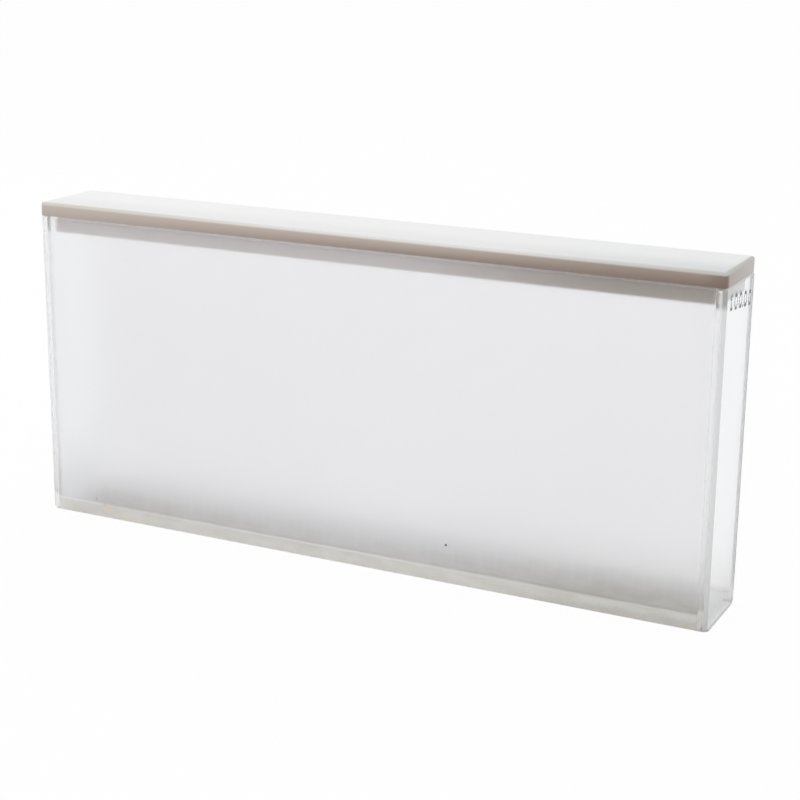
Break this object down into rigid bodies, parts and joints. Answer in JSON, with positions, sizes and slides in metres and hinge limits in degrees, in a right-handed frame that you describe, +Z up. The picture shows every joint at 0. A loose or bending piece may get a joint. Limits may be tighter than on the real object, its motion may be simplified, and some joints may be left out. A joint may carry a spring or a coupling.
{
  "type": "cuvette",
  "caption": "Long-path rectangular glass cuvette with frosted side walls, clear end windows and a drop-in plastic lid.",
  "frame": {"origin": "centre of the base, on the plane that the cell stands on", "axes": "+X along the light path towards the right window, +Y towards the back frosted wall, +Z up"},
  "size_m": [0.1024, 0.0126, 0.047],
  "materials": {
    "frosted_glass": "ground on the outer long faces, polished inside",
    "clear_glass": "polished faces, ground edges",
    "milky_plastic": "machined, satin",
    "ink": "jet-printed dots"
  },
  "bodies": {
    "root": {"trough": "frosted_glass", "left_window": "clear_glass", "right_window": "clear_glass", "lid": "milky_plastic"}
  },
  "joints": []
}
